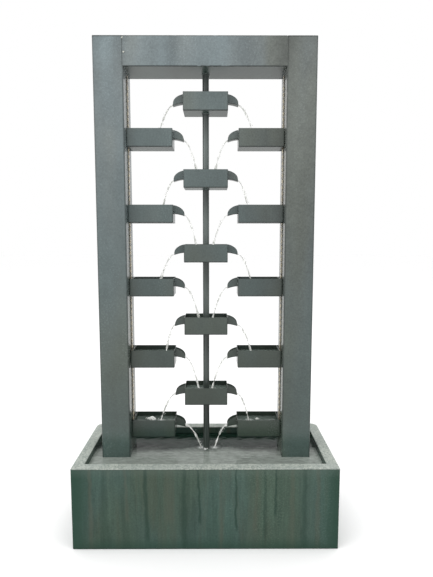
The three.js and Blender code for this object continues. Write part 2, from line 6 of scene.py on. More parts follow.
import bmesh
import bpy
import numpy as np
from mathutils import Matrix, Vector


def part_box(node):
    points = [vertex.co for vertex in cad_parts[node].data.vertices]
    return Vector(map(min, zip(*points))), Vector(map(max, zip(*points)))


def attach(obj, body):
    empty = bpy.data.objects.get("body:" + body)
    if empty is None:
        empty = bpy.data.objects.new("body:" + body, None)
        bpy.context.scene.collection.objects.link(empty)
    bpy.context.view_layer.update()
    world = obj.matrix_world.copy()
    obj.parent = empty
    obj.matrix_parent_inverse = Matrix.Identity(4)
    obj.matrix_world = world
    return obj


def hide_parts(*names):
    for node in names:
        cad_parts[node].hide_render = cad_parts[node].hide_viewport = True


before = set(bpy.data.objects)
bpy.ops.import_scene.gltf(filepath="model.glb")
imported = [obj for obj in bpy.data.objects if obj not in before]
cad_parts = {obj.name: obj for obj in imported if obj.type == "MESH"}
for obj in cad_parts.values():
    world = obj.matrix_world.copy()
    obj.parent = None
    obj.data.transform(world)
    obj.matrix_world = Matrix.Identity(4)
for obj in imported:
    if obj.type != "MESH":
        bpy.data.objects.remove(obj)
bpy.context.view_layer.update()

# ---------------------------------------------------------------- sizes

MM = 0.001
SHEET = 1.5 * MM
BASIN_RIM = 30 * MM
BASIN_LIP = 26 * MM
BASIN_HEM = 16 * MM
BASIN_FLOOR_UNDERSIDE = 10 * MM
BASIN_CORNERS = (3 * MM, 20 * MM)  # front, rear
BASIN_WATER = 204.3 * MM
BOWL_WATER_DROP = 13 * MM
WATER_SLAB = 6 * MM
POST_CORNER = 3 * MM
BEND = 2 * MM
NEAR_BEND = 2.2 * MM
STRIP_CHANNEL = 5.5 * MM
POLE_RADIUS = 9 * MM
LAMP_PITCH = 1 / 60
TIERS = 5
MID_Y = 20 * MM
CREASE = 32  # degrees between faces past which an edge is shaded sharp
WATER_IOR = 1.33
# colour of the painted shade on faces turned down
UNDERSIDE_SHADE_TINT = (34, 50, 42)
EDGE_TINT = (30, 37, 35)


# ---------------------------------------------------------------- shader maths

def tint(red, green, blue):
    """A colour given as 0 to 255 screen values, made linear."""
    shares = np.array([red, green, blue]) / 255
    linear = np.where(shares <= 0.04045, shares / 12.92, ((shares + 0.055) / 1.055) ** 2.4)
    return (*map(float, linear), 1.0)


class Value:
    """A shader socket that takes arithmetic: each operator adds one Math node."""

    def __init__(self, paint, socket):
        self.paint = paint
        self.socket = socket

    def maths(self, operation, *operands):
        return self.paint.node("ShaderNodeMath", {"operation": operation}, operands)

    def __add__(self, other):
        return self.maths("ADD", self, other)

    def __sub__(self, other):
        return self.maths("SUBTRACT", self, other)

    def __mul__(self, other):
        return self.maths("MULTIPLY", self, other)

    def __truediv__(self, other):
        return self.maths("DIVIDE", self, other)

    def __rsub__(self, other):
        return self.maths("SUBTRACT", other, self)

    def __abs__(self):
        return self.maths("ABSOLUTE", self)

    __radd__ = __add__
    __rmul__ = __mul__

    def fraction(self):
        """What is left over the whole number below."""
        return self.maths("FRACT", self)

    def root(self):
        """The square root."""
        return self.maths("SQRT", self)

    def above(self, other):
        """The larger of this value and another."""
        return self.maths("MAXIMUM", self, other)

    def ease(self, low, high):
        """0 below low, 1 above high, and a smooth step between; low may be the larger one."""
        inputs = {"Value": self, "From Min": low, "From Max": high}
        return self.paint.node("ShaderNodeMapRange", {"interpolation_type": "SMOOTHSTEP"}, inputs)


class Paint:
    """A material and its nodes."""

    def __init__(self, name):
        self.material = bpy.data.materials.new(name)
        self.material.use_nodes = True
        self.tree = self.material.node_tree
        self.shader = self.tree.nodes["Principled BSDF"]
        self.place = self.node("ShaderNodeTexCoord", output="Object")
        self.x, self.y, self.z = self.axes(self.place)

    def node(self, kind, settings=None, inputs=(), output=0):
        """Adds a node, applies its settings, then its sockets, and returns one of its outputs."""
        made = self.tree.nodes.new(kind)
        for key, value in (settings or {}).items():
            if key == "stops":
                set_stops(made.color_ramp, value)
            else:
                setattr(made, key, value)
        for key, value in inputs.items() if isinstance(inputs, dict) else enumerate(inputs):
            self.feed(made.inputs[key], value)
        return Value(self, made.outputs[output])

    def axes(self, vector):
        """The three parts of a vector."""
        return [self.node("ShaderNodeSeparateXYZ", {}, [vector], output=axis) for axis in "XYZ"]

    def feed(self, socket, value):
        """Links a Value to a socket, or sets the socket to a plain number or colour."""
        if isinstance(value, Value):
            self.tree.links.new(value.socket, socket)
        else:
            socket.default_value = value

    def mix(self, factor, first, second, blend="MIX"):
        """A colour between two colours."""
        settings = {"data_type": "RGBA", "blend_type": blend}
        return self.node("ShaderNodeMix", settings, {0: factor, 6: first, 7: second}, output=2)

    def scale(self, colour, factor):
        """A colour made lighter or darker by a factor."""
        inputs = {0: colour, "Scale": factor}
        return self.node("ShaderNodeVectorMath", {"operation": "SCALE"}, inputs)

    def stretch(self, scale, shift=(0, 0, 0)):
        """The object's coordinates, scaled along each axis."""
        inputs = {"Vector": self.place, "Location": shift, "Scale": scale}
        return self.node("ShaderNodeMapping", {}, inputs)

    def noise(self, scale, detail=2, roughness=0.5, across=(1, 1, 1), shift=(0, 0, 0)):
        """Soft noise from 0 to 1 with about `scale` lumps to the metre."""
        inputs = {
            "Vector": self.stretch(across, shift),
            "Scale": scale,
            "Detail": detail,
            "Roughness": roughness,
        }
        return self.node("ShaderNodeTexNoise", {}, inputs)

    def underneath(self):
        """1 where the surface faces down, 0 where it is upright or faces up."""
        facing = self.node("ShaderNodeNewGeometry", output="Normal")
        return self.axes(facing)[2].ease(-0.4, -0.9)

    def mark(self, name):
        """A number that the piece's own mesh carries at each point."""
        return self.node("ShaderNodeAttribute", {"attribute_name": name}, output="Fac")

    def bump(self, height, distance, strength=1.0, under=None):
        """A normal bent by a height, on top of another bump if one is given."""
        inputs = {"Strength": strength, "Distance": distance, "Height": height}
        if under:
            inputs["Normal"] = under
        return self.node("ShaderNodeBump", {}, inputs)

    def finish(self, **sockets):
        """Feeds the surface shader: underscores in a name stand for spaces."""
        for key, value in sockets.items():
            self.feed(self.shader.inputs[key.replace("_", " ").title().replace("Ior", "IOR")], value)
        return self.material


def set_stops(ramp, stops):
    """Gives a colour ramp its stops, as (place, colour) pairs."""
    while len(ramp.elements) > 1:
        ramp.elements.remove(ramp.elements[-1])
    for i, (position, colour) in enumerate(stops):
        stop = ramp.elements[0] if i == 0 else ramp.elements.new(position)
        stop.position = position
        stop.color = colour


# ---------------------------------------------------------------- finishes

def aged_steel(paint, high, low, warm, cool):
    """Satin paint that clouds in upright bands, drifts between warm and cool greys, is a shade
    darker at the upper right (painted shade), goes darker and greener towards the foot (the
    darkening partly painted shade), and takes a painted shade where it faces down. Returns
    colour and roughness."""
    height = paint.z.ease(0.10, 1.42)
    clouds = paint.noise(8, 3, 0.5, across=(1, 1, 0.20))
    drift = paint.noise(5.5, 2, 0.5, across=(1, 1, 0.30), shift=(7, 2, 4))
    blotches = paint.noise(26, 4, 0.65, across=(1, 1, 0.6), shift=(3, 1, 2))
    grain = paint.noise(230, 3, 0.7)
    # darker and greener towards the foot: the green is the paint's own, the darkening is partly
    # painted shade of light that falls off downwards
    colour = paint.mix(height, low, high)
    colour = paint.mix(drift.ease(0.46, 0.62) * 0.7, colour, warm, "MULTIPLY")
    colour = paint.mix(drift.ease(0.52, 0.38) * 0.5, colour, cool, "MULTIPLY")
    # painted shade: the upper right is darkened, where less light falls
    right = paint.x.ease(0.04, 0.15) * paint.z.ease(0.35, 1.05)
    shade = 0.02 + clouds * 0.76 + blotches * 0.40 + grain * 0.80 - right * 0.20
    # painted shade: faces turned down are drawn towards a dark green grey
    below = paint.underneath()
    colour = paint.mix(below * 0.85, paint.scale(colour, shade), tint(*UNDERSIDE_SHADE_TINT))
    edge = paint.mark("edge").ease(0.25, 0.85)
    worn = paint.noise(60, 2, shift=(5, 5, 5)).ease(0.20, 0.45)
    colour = paint.mix(edge * worn * 0.78, colour, tint(*EDGE_TINT))
    roughness = 0.19 + clouds * 0.08 + grain * 0.06 + below * 0.13
    return colour, roughness


def sheet_bump(paint):
    """The skin of a painted sheet: broad slack, orange peel and grit."""
    slack = paint.bump(paint.noise(9, 1, across=(1, 1, 0.5)), 0.0010, 0.4)
    return paint.bump(paint.noise(500, 2, 0.6), 0.00010, 0.45, under=slack)


# Soft upright shades on the header and the heads of the posts: place along X and half width in
# mm, and how much lighter (above 0) or darker (below 0) the paint is there.
HEAD_SHADES = (
    (-262, 16, 0.12),
    (-226, 15, -0.20),
    (-160, 40, 0.22),
    (-86, 17, -0.24),
    (-40, 20, 0.08),
    (24, 40, 0.12),
    (116, 22, -0.12),
    (160, 24, 0.08),
    (212, 34, -0.36),
    (270, 24, -0.12),
)


def head_shades(paint, colour):
    """Multiplies the paint by one soft column for each shade of the list, near the top only."""
    at_head = paint.z.ease(1.22, 1.30)
    sway = (paint.noise(12, 2, across=(1, 0, 1)) - 0.5) * 0.05
    shade = 1.0
    for place, half_width, lighter in HEAD_SHADES:
        apart = abs(paint.x - place * MM + sway) / (half_width * MM)
        shade = shade + apart.ease(1.5, 0.0) * lighter * at_head
    return paint.scale(colour, shade)


def patina(name, high, low):
    """The frame's and bowls' paint: aged steel with the shades of the head, and painted light that
    makes the feet of the posts lighter, in blotches."""
    paint = Paint(name)
    colour, roughness = aged_steel(paint, high, low, tint(255, 246, 228), tint(232, 244, 250))
    colour = head_shades(paint, colour)
    # painted light: the feet of the posts are lightened in blotches
    painted_light_at_feet = paint.z.ease(0.34, 0.22) * (paint.noise(40, 3, 0.6) * 0.6 + 0.7)
    colour = paint.scale(colour, painted_light_at_feet * 0.75 + 1)
    return paint.finish(base_color=colour, roughness=roughness, normal=sheet_bump(paint))


# Drips down the basin's front: place at the top and at the bottom, height where the drip ends,
# half width (all in mm), how strongly it shows, and whether it is brown (1) or dark green (0).
FRONT_DRIPS = (
    (-304, -304, 0, 7, 0.75, 1),
    (-268, -268, 0, 12, 0.45, 0),
    (-212, -205, 74, 6, 0.60, 1),
    (-159, -154, 12, 7, 0.80, 0),
    (-94, -94, 70, 15, 0.45, 1),
    (-56, -56, 0, 8, 0.70, 0),
    (-19, -14, 69, 4, 0.90, 0),
    (41, 41, 0, 7, 0.60, 1),
    (81, 81, 47, 4, 0.90, 0),
    (136, 131, 43, 6, 0.60, 1),
    (158, 158, 21, 6, 0.60, 0),
    (186, 186, 88, 4, 0.85, 0),
    (230, 230, 0, 8, 0.60, 1),
    (262, 262, 0, 9, 0.60, 0),
    (297, 297, 0, 8, 0.65, 1),
)


def front_drips(paint, colour, height):
    """Lays each drip of the list over the front wall: a band that wavers, widens a little on its
    way down and fades out at its end."""
    waver = (paint.noise(26, 2, across=(1, 0, 1)) - 0.5) * 0.012
    ragged = paint.noise(160, 3, 0.6, across=(1, 0, 0.3)) * 0.5 + 0.65
    on_front = paint.y.ease(-0.1535, -0.1565)
    for top, bottom, end, half_width, strength, brown in FRONT_DRIPS:
        fall = (height - paint.z) / (height - end * MM)
        centre = top * MM + fall * ((bottom - top) * MM)
        apart = abs(paint.x - centre + waver) / (half_width * MM * (fall * 0.4 + 0.8))
        band = apart.ease(1.25, 0.15)
        if end:
            band = band * fall.ease(1.04, 0.88)
        paint_colour = tint(76, 78, 66) if brown else tint(22, 48, 38)
        shows = strength * (0.62 if brown else 0.85)
        colour = paint.mix(band * on_front * ragged * shows, colour, paint_colour)
    return colour


def basin_paint():
    """The basin's paint: fine streaks and drips down the walls, dark green ends and foot, a paler
    band under the rim, and a rim worn to a pale speckle."""
    paint = Paint("weathered_basin_paint")
    low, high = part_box("basin")
    colour, roughness = aged_steel(
        paint, tint(108, 120, 112), tint(59, 79, 72), tint(255, 244, 222), tint(226, 246, 236),
    )
    wall = paint.z.ease(high.z - 0.001, high.z - 0.006)
    fine = paint.noise(150, 3, 0.6, across=(1, 1, 0.06), shift=(2, 6, 1))
    streaks = paint.noise(34, 3, 0.6, across=(1, 1, 0.09), shift=(9, 4, 1))
    colour = paint.scale(colour, (fine - 0.5) * wall * 0.60 + 1.0)
    brown = streaks.ease(0.54, 0.66) * wall
    green = streaks.ease(0.46, 0.36) * wall
    off_front = paint.y.ease(-0.1565, -0.1535)
    colour = paint.mix(brown * (off_front * 0.40 + 0.18), colour, tint(76, 76, 62))
    colour = paint.mix(green * (off_front * 0.34 + 0.26), colour, tint(37, 57, 48))
    colour = front_drips(paint, colour, high.z)
    ends = abs(paint.x).ease(high.x - 0.060, high.x - 0.004)
    foot = paint.z.ease(0.040, 0.000)
    colour = paint.mix(ends.above(foot * 0.7) * wall * 0.85, colour, tint(26, 58, 45))
    band = paint.z.ease(high.z - 0.030, high.z - 0.006) * wall
    colour = paint.mix(band * 0.18, colour, tint(92, 104, 98))
    rim = paint.z.ease(high.z - 0.003, high.z - 0.0005)
    worn = paint.noise(230, 3, 0.8, shift=(1, 8, 2)).ease(0.40, 0.60)
    broad = paint.noise(14, 2, 0.5, shift=(6, 1, 3)).ease(0.35, 0.65)
    pale = paint.mix(worn, tint(120, 129, 123), tint(170, 175, 167))
    pale = paint.mix(broad * 0.35, pale, tint(140, 148, 144))
    colour = paint.mix(rim, colour, pale)
    roughness = roughness + rim * 0.2
    normal = sheet_bump(paint)
    return paint.finish(
        base_color=colour, roughness=roughness, normal=normal, specular_ior_level=0.2,
    )


def pole_paint():
    """The pole's paint: streaked and limy, with painted shade under each bowl and under the header.
    """
    paint = Paint("drawn_tube_paint")
    bowl_base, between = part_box("centre_bowl_1")[0].z, 0.205
    height = paint.z.ease(0.2, 1.25)
    streaks = paint.noise(120, 3, 0.6, across=(1, 1, 0.05))
    colour = paint.mix(height, tint(56, 64, 60), tint(96, 104, 102))
    # painted shade: the pole darkens just under each bowl, and all the way from the first bowl up to
    # the header
    painted_shade_under_bowls = ((paint.z - bowl_base) / between).fraction().ease(0.50, 0.92)
    painted_shade_under_bowls = painted_shade_under_bowls.above(paint.z.ease(1.205, 1.215))
    colour = paint.scale(colour, 1 - painted_shade_under_bowls * 0.62)
    colour = paint.mix(streaks.ease(0.40, 0.70) * 0.30, colour, tint(104, 112, 108))
    limescale = paint.noise(70, 4, 0.7, across=(1, 1, 0.4), shift=(2, 2, 2)).ease(0.60, 0.76)
    colour = paint.mix(limescale * 0.25, colour, tint(150, 154, 146))
    roughness = 0.22 + streaks * 0.20
    normal = paint.bump(streaks, 0.0002, 0.4)
    return paint.finish(base_color=colour, metallic=0.2, roughness=roughness, normal=normal)


def weld_metal(name, dark, light):
    """Weld metal with a tight ripple."""
    paint = Paint(name)
    ripple = paint.noise(700, 3, 0.6)
    colour = paint.mix(ripple, dark, light)
    normal = paint.bump(ripple, 0.0004, 0.8)
    return paint.finish(base_color=colour, metallic=0.2, roughness=0.45, normal=normal)


def water(name, shallow, shaded_back, alpha, roughness):
    """Water seen from above: pale where light reaches in at the front and dark towards the back,
    both painted light and shade, with painted glints and shade along the ripples.
    """
    paint = Paint(name)
    swirl = paint.noise(22, 3, 0.6, across=(0.5, 1, 1))
    ripples = paint.noise(150, 3, 0.65, across=(0.35, 1, 1))
    # painted light and shade: the front takes the pale tint, the back the dark tint
    near = (paint.y + (swirl - 0.5) * 0.06).ease(0.030, -0.020)
    foam = paint.mark("foam") * paint.noise(420, 3, 0.7).ease(0.30, 0.55)
    # the ripple noise also scales the colour: painted glints and shade along the ripples
    colour = paint.scale(paint.mix(near, shaded_back, shallow), ripples * 1.3 + 0.35)
    colour = paint.mix(foam, colour, tint(236, 240, 238))
    broad = paint.bump(paint.noise(95, 2, across=(0.6, 1, 1)), 0.0012, 0.6)
    normal = paint.bump(ripples, 0.0006, 0.5, under=broad)
    opacity = foam * (1 - alpha) + alpha
    return paint.finish(
        base_color=colour, roughness=roughness, normal=normal, alpha=opacity, ior=WATER_IOR,
        specular_ior_level=0.3,
    )


def falling_water():
    """Water in the air: half clear, with painted glints: its ripples lighten the colour and glow a
    little.
    """
    paint = Paint("falling_water")
    ripple = paint.noise(260, 2, across=(1, 1, 0.35))
    # painted glints: the ripples lighten the whitish water
    colour = paint.mix(ripple.ease(0.35, 0.65), tint(206, 208, 202), tint(250, 250, 248))
    normal = paint.bump(ripple, 0.0006, 0.5)
    # painted glints that glow through the emission
    painted_glint = paint.scale(colour, ripple.ease(0.40, 0.70))
    return paint.finish(
        base_color=colour, roughness=0.18, normal=normal, ior=WATER_IOR, emission_color=painted_glint,
        transmission_weight=0.30, emission_strength=0.22,
    )


def plain(name, light, dark, roughness, metallic=0.0, grain=500, depth=0.0001, coat=0.0):
    """A moulded or plated part's finish: two close tones in a fine grain, with matching bump."""
    paint = Paint(name)
    fine = paint.noise(grain, 3, 0.6)
    stain = paint.noise(40, 3, 0.6, shift=(4, 4, 4))
    colour = paint.mix(fine * 0.5 + stain * 0.5, dark, light)
    normal = paint.bump(fine, depth, 0.5)
    rough = roughness - 0.06 + stain * 0.12
    return paint.finish(
        base_color=colour, metallic=metallic, roughness=rough, normal=normal, coat_weight=coat,
    )


def clear_sleeve():
    """A clear sleeve, dusty from outdoors."""
    paint = Paint("silicone_sleeve")
    dust = paint.noise(240, 3, 0.6)
    colour = paint.mix(dust, tint(170, 162, 144), tint(222, 218, 206))
    opacity = dust * 0.20 + 0.22
    return paint.finish(base_color=colour, roughness=0.25, alpha=opacity)


def clear_hose():
    """Clear vinyl that has clouded a little."""
    paint = Paint("clear_hose")
    haze = paint.noise(60, 3, 0.6)
    colour = paint.mix(haze, tint(168, 182, 178), tint(206, 214, 210))
    normal = paint.bump(haze, 0.0003, 0.4)
    return paint.finish(base_color=colour, roughness=0.22, alpha=haze * 0.2 + 0.45, normal=normal)


FINISH = {
    "patina": patina("aged_zinc_paint", tint(106, 114, 115), tint(58, 70, 65)),
    "bowl_patina": patina("aged_bowl_paint", tint(93, 102, 101), tint(38, 51, 45)),
    "basin_paint": basin_paint(),
    "pole_paint": pole_paint(),
    "painted_weld": weld_metal("painted_weld", tint(58, 66, 64), tint(92, 101, 99)),
    "bare_weld": weld_metal("bare_weld", tint(120, 124, 116), tint(214, 214, 204)),
    # the two water tints: painted light at the front, painted shade at the back
    "basin_water": water("basin_water", tint(130, 137, 131), tint(20, 38, 30), 0.93, 0.07),
    "bowl_water": water("bowl_water", tint(112, 122, 116), tint(92, 103, 97), 0.92, 0.10),
    "falling_water": falling_water(),
    "foam": plain("foam", tint(252, 252, 250), tint(214, 218, 214), 0.45),
    "strip_sleeve": clear_sleeve(),
    "strip_tape": plain("light_tape", tint(116, 104, 84), tint(84, 74, 58), 0.55),
    "lamp": plain("lamp_body", tint(240, 232, 206), tint(214, 204, 172), 0.35),
    "black_plastic": plain("black_plastic", tint(44, 47, 48), tint(24, 26, 27), 0.5),
    "white_plastic": plain("white_plastic", tint(226, 226, 220), tint(204, 205, 198), 0.38),
    "ceramic": plain("ceramic", tint(238, 232, 218), tint(222, 214, 198), 0.22, coat=0.4),
    "rubber": plain("rubber", tint(46, 46, 46), tint(28, 28, 28), 0.82, depth=0.0002),
    "clear_hose": clear_hose(),
    "zinc": plain("zinc_plate", tint(186, 190, 192), tint(140, 145, 148), 0.32, metallic=0.9),
}


# ---------------------------------------------------------------- surfaces

def grid_quads(rows, columns, close_rows=False, close_columns=True):
    """Quads between neighbouring points of a grid whose points are numbered row by row."""
    row = np.arange(rows if close_rows else rows - 1)
    column = np.arange(columns if close_columns else columns - 1)
    row, column = np.meshgrid(row, column, indexing="ij")
    row_next = (row + 1) % rows
    column_next = (column + 1) % columns
    corners = [
        row * columns + column,
        row * columns + column_next,
        row_next * columns + column_next,
        row_next * columns + column,
    ]
    return np.stack(corners, -1).reshape(-1, 4)


class Patches:
    """Closed surfaces gathered for one piece, each with a number at every point per mark."""

    def __init__(self):
        self.points = []
        self.faces = []
        self.marks = []
        self.count = 0

    def add(self, points, faces, marks=None):
        """Points and faces of one closed surface, numbered on from what is there."""
        points = np.asarray(points, float).reshape(-1, 3)
        self.points.append(points)
        self.faces += [[int(i) + self.count for i in face] for face in faces]
        self.marks.append(np.zeros(len(points)) if marks is None else np.ravel(marks))
        self.count += len(points)
        return self

    def loft(self, grid, marks=None):
        """A grid of rings, closed round each ring and with a flat face over each end."""
        rows, columns = grid.shape[:2]
        quads = grid_quads(rows, columns).tolist()
        ends = [list(range(columns)), list(range((rows - 1) * columns, rows * columns))]
        return self.add(grid, quads + ends, marks)

    def build(
        self, name, finish, body="fountain", slot=None, stands_for=(), mark="edge", crease=CREASE,
    ):
        """Makes the piece: doubles merged, faces outwards, smooth but for creases, on a body."""
        mesh = bpy.data.meshes.new(name)
        mesh.from_pydata(np.concatenate(self.points), [], self.faces)
        carried = mesh.attributes.new(mark, "FLOAT", "POINT")
        carried.data.foreach_set("value", np.concatenate(self.marks).astype(np.float32))
        tidy = bmesh.new()
        tidy.from_mesh(mesh)
        bmesh.ops.remove_doubles(tidy, verts=tidy.verts, dist=1e-6)
        bmesh.ops.recalc_face_normals(tidy, faces=tidy.faces)
        tidy.to_mesh(mesh)
        tidy.free()
        return settle(new_object(name, mesh), finish, body, stands_for, crease)


def new_object(name, data):
    """An object with this data, in the scene."""
    made = bpy.data.objects.new(name, data)
    bpy.context.scene.collection.objects.link(made)
    return made


def settle(piece, finish, body, stands_for, crease):
    """Shades a finished piece, gives it its material and ties it to its body and CAD nodes."""
    mesh = piece.data
    mesh.polygons.foreach_set("use_smooth", [True] * len(mesh.polygons))
    mesh.set_sharp_from_angle(angle=math.radians(crease))
    mesh.materials.clear()
    mesh.materials.append(FINISH[finish])
    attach(piece, body)
    if stands_for:
        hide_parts(*stands_for)
    return piece


def outline(x0, x1, y0, y1, radii, steps=(4, 4), corner=5):
    """A rectangle with round corners, anticlockwise. Corners are quarter circles; each side has a
    point NEAR_BEND from both its corners and even steps between. Returns points and corner marks."""
    front, rear = (max(radius, 0.02 * MM) for radius in radii)
    turn = np.linspace(0, math.pi / 2, corner)
    corners = (
        (x1 - front, y0 + front, front, -math.pi / 2),
        (x1 - rear, y1 - rear, rear, 0),
        (x0 + rear, y1 - rear, rear, math.pi / 2),
        (x0 + front, y0 + front, front, math.pi),
    )
    arcs = [
        np.stack([cx + r * np.cos(start + turn), cy + r * np.sin(start + turn)], 1)
        for cx, cy, r, start in corners
    ]
    points, marks = [], []
    for i, arc in enumerate(arcs):
        following = arcs[(i + 1) % 4]
        length = np.linalg.norm(following[0] - arc[-1])
        near = min(NEAR_BEND / max(length, 1e-6), 0.4)
        share = np.linspace(near, 1 - near, steps[1 - i % 2] + 1)[:, None]
        points += [arc, arc[-1] * (1 - share) + following[0] * share]
        marks += [np.ones(corner), np.zeros(len(share))]
    return np.concatenate(points), np.concatenate(marks)


def bend(inset, level, radius, start, end, steps=5):
    """Profile points round a bend: a circle about (inset, level), angles in degrees, each marked."""
    angle = np.radians(np.linspace(start, end, steps))
    across = inset + radius * np.cos(angle)
    return [(float(a), float(b), 1.0) for a, b in zip(across, level + radius * np.sin(angle))]


def rings(box, radii, profile, steps=(4, 4), corner=5):
    """Carries a profile round an outline: each (inset, level, mark) of the profile is the outline
    drawn in by the inset, at that level. Returns a grid of points and their marks."""
    x0, x1, y0, y1 = box
    grid, marks = [], []
    for inset, level, row_mark in profile:
        shrunk = [max(radius - inset, 0) for radius in radii]
        sides = (x0 + inset, x1 - inset, y0 + inset, y1 - inset)
        ring, ring_marks = outline(*sides, shrunk, steps, corner)
        grid.append(np.column_stack([ring, np.full(len(ring), level)]))
        marks.append(np.maximum(ring_marks * 0.6, row_mark))
    return np.array(grid), np.array(marks)


def carve(piece, *cutters):
    """Cuts boxes and rods, given as meshes, out of a piece, and keeps its marks."""
    for points, faces in cutters:
        mesh = bpy.data.meshes.new("cutter")
        mesh.from_pydata(points, [], faces)
        tool = new_object("cutter", mesh)
        cut = piece.modifiers.new("cut", "BOOLEAN")
        cut.operation = "DIFFERENCE"
        cut.solver = "EXACT"
        cut.object = tool
        bpy.context.view_layer.update()
        shaped = piece.evaluated_get(bpy.context.evaluated_depsgraph_get())
        result = bpy.data.meshes.new_from_object(shaped)
        piece.modifiers.clear()
        piece.data = result
        bpy.data.objects.remove(tool)
        piece.data.set_sharp_from_angle(angle=math.radians(CREASE))
    return piece


def box_mesh(low, high):
    """The eight corners and six faces of a box."""
    x, y, z = zip(low, high)
    points = [(x[i], y[j], z[k]) for k in (0, 1) for i, j in ((0, 0), (1, 0), (1, 1), (0, 1))]
    faces = [(3, 2, 1, 0), (4, 5, 6, 7), (0, 1, 5, 4), (1, 2, 6, 5), (2, 3, 7, 6), (3, 0, 4, 7)]
    return points, faces


def rod_mesh(centre, radius, half_length, sides=24):
    """A rod along Y: two circles about the centre and the wall between them."""
    angle = np.linspace(0, 2 * math.pi, sides, endpoint=False)
    ends = [
        np.column_stack([
            centre[0] + radius * np.cos(angle),
            np.full(sides, centre[1] + shift),
            centre[2] + radius * np.sin(angle),
        ])
        for shift in (-half_length, half_length)
    ]
    faces = [list(range(sides)), list(range(2 * sides - 1, sides - 1, -1))]
    faces += [[i, i + sides, (i + 1) % sides + sides, (i + 1) % sides] for i in range(sides)]
    return np.concatenate(ends).tolist(), faces


# ---------------------------------------------------------------- basin

def basin():
    """One folded sheet: its profile goes from the floor's underside down the hem, up the outer
    wall, in along the rim, down and up the lip, back under the rim, down the inner wall and in
    over the floor, and is carried round the basin's outline."""
    low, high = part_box("basin")
    top = high.z
    under = top - SHEET
    inner_bend = BEND - SHEET
    floor_top = BASIN_FLOOR_UNDERSIDE + SHEET
    lip_bottom = top - BASIN_LIP
    lip_back = BASIN_RIM - SHEET
    floor_edge = 40 * MM
    profile = [
        (floor_edge, BASIN_FLOOR_UNDERSIDE, 0),
        (SHEET + NEAR_BEND, BASIN_FLOOR_UNDERSIDE, 0),
        (SHEET, BASIN_FLOOR_UNDERSIDE, 1),
        *bend(BEND, BEND, inner_bend, 180, 270),
        (BASIN_HEM, SHEET, 0),
        (BASIN_HEM, 0, 1),
        (BEND + NEAR_BEND, 0, 0),
        *bend(BEND, BEND, BEND, 270, 180),
        (0, BEND + NEAR_BEND, 0),
        *[(0, level, 0) for level in np.linspace(30 * MM, top - 30 * MM, 9)],
        (0, top - BEND - NEAR_BEND, 0),
        *bend(BEND, top - BEND, BEND, 180, 90),
        (BEND + NEAR_BEND, top, 0),
        (BASIN_RIM / 2, top, 0),
        (BASIN_RIM - BEND - NEAR_BEND, top, 0),
        *bend(BASIN_RIM - BEND, top - BEND, BEND, 90, 0),
        (BASIN_RIM, top - BEND - NEAR_BEND, 0),
        (BASIN_RIM, lip_bottom + 0.4 * MM, 0),
        (BASIN_RIM - 0.4 * MM, lip_bottom, 1),
        (lip_back, lip_bottom, 1),
        (lip_back, under - inner_bend, 0),
        *bend(BASIN_RIM - BEND, top - BEND, inner_bend, 0, 90),
        *bend(BEND, top - BEND, inner_bend, 90, 180),
        (SHEET, top - 40 * MM, 0),
        *[(SHEET, level, 0) for level in np.linspace(top - 60 * MM, 40 * MM, 5)],
        (SHEET, floor_top + 4 * MM, 0.3),
        *bend(SHEET + 3 * MM, floor_top + 3 * MM, 3 * MM, 180, 270),
        (SHEET + 10 * MM, floor_top, 0),
        (floor_edge, floor_top, 0),
    ]
    grid, marks = rings((low.x, high.x, low.y, high.y), BASIN_CORNERS, profile, (40, 18), 9)
    slack(grid, low, high)
    piece = Patches().loft(grid, marks).build(
        "basin_shell", "basin_paint", stands_for=["basin"],
    )
    ring_low, ring_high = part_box("lead_grommet")
    centre = (ring_low + ring_high) / 2
    carve(piece, rod_mesh((centre.x, centre.y, centre.z), 7 * MM, 12 * MM))
    return piece


def slack(grid, low, high):
    """Lets long walls belly by fractions of a millimetre: a sum of two waves along the wall, which
    dies away at the corners, the foot and the rim."""
    x, y, z = grid[..., 0], grid[..., 1], grid[..., 2]
    upright = np.sin(math.pi * np.clip(z / high.z, 0, 1))
    wave_x = np.sin(x * 17 + 1) + 0.6 * np.sin(x * 31 + 2)
    wave_y = np.sin(y * 25 + 2) + 0.5 * np.sin(y * 43)
    at_front = (np.abs(y) / high.y) ** 12
    at_side = (np.abs(x) / high.x) ** 20
    grid[..., 1] += 0.35 * MM * np.sign(y) * at_front * upright * wave_x * (1 - at_side)
    grid[..., 0] += 0.35 * MM * np.sign(x) * at_side * upright * wave_y * (1 - at_front)


# ---------------------------------------------------------------- portal frame

def post(side):
    """A box section: a rounded outline carried up its height, with the welded cap's edge rounded."""
    node = f"{side}_post"
    low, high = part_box(node)
    edge = 1.2 * MM
    profile = [
        (0, low.z, 0.4),
        *[(0, level, 0) for level in np.linspace(low.z + 5 * MM, high.z - 6 * MM, 60)],
        *bend(edge, high.z - edge, edge, 180, 90, 4),
        (edge + NEAR_BEND, high.z, 0),
    ]
    grid, marks = rings(
        (low.x, high.x, low.y, high.y), (POST_CORNER, POST_CORNER), profile, (4, 5), 6,
    )
    return Patches().loft(grid, marks).build(
        f"{side}_post_section", "patina", stands_for=[node],
    )


def header():
    """A box section lying along X: a rounded outline in Y and Z carried from post to post."""
    low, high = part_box("header")
    profile = [(0, level, 0) for level in np.linspace(low.x, high.x, 40)]
    grid, marks = rings((low.y, high.y, low.z, high.z), (1.6 * MM, 1.6 * MM), profile, (5, 4), 5)
    grid = grid[..., [2, 0, 1]]
    return Patches().loft(grid, marks / 0.6).build(
        "header_section", "patina", stands_for=["header"],
    )


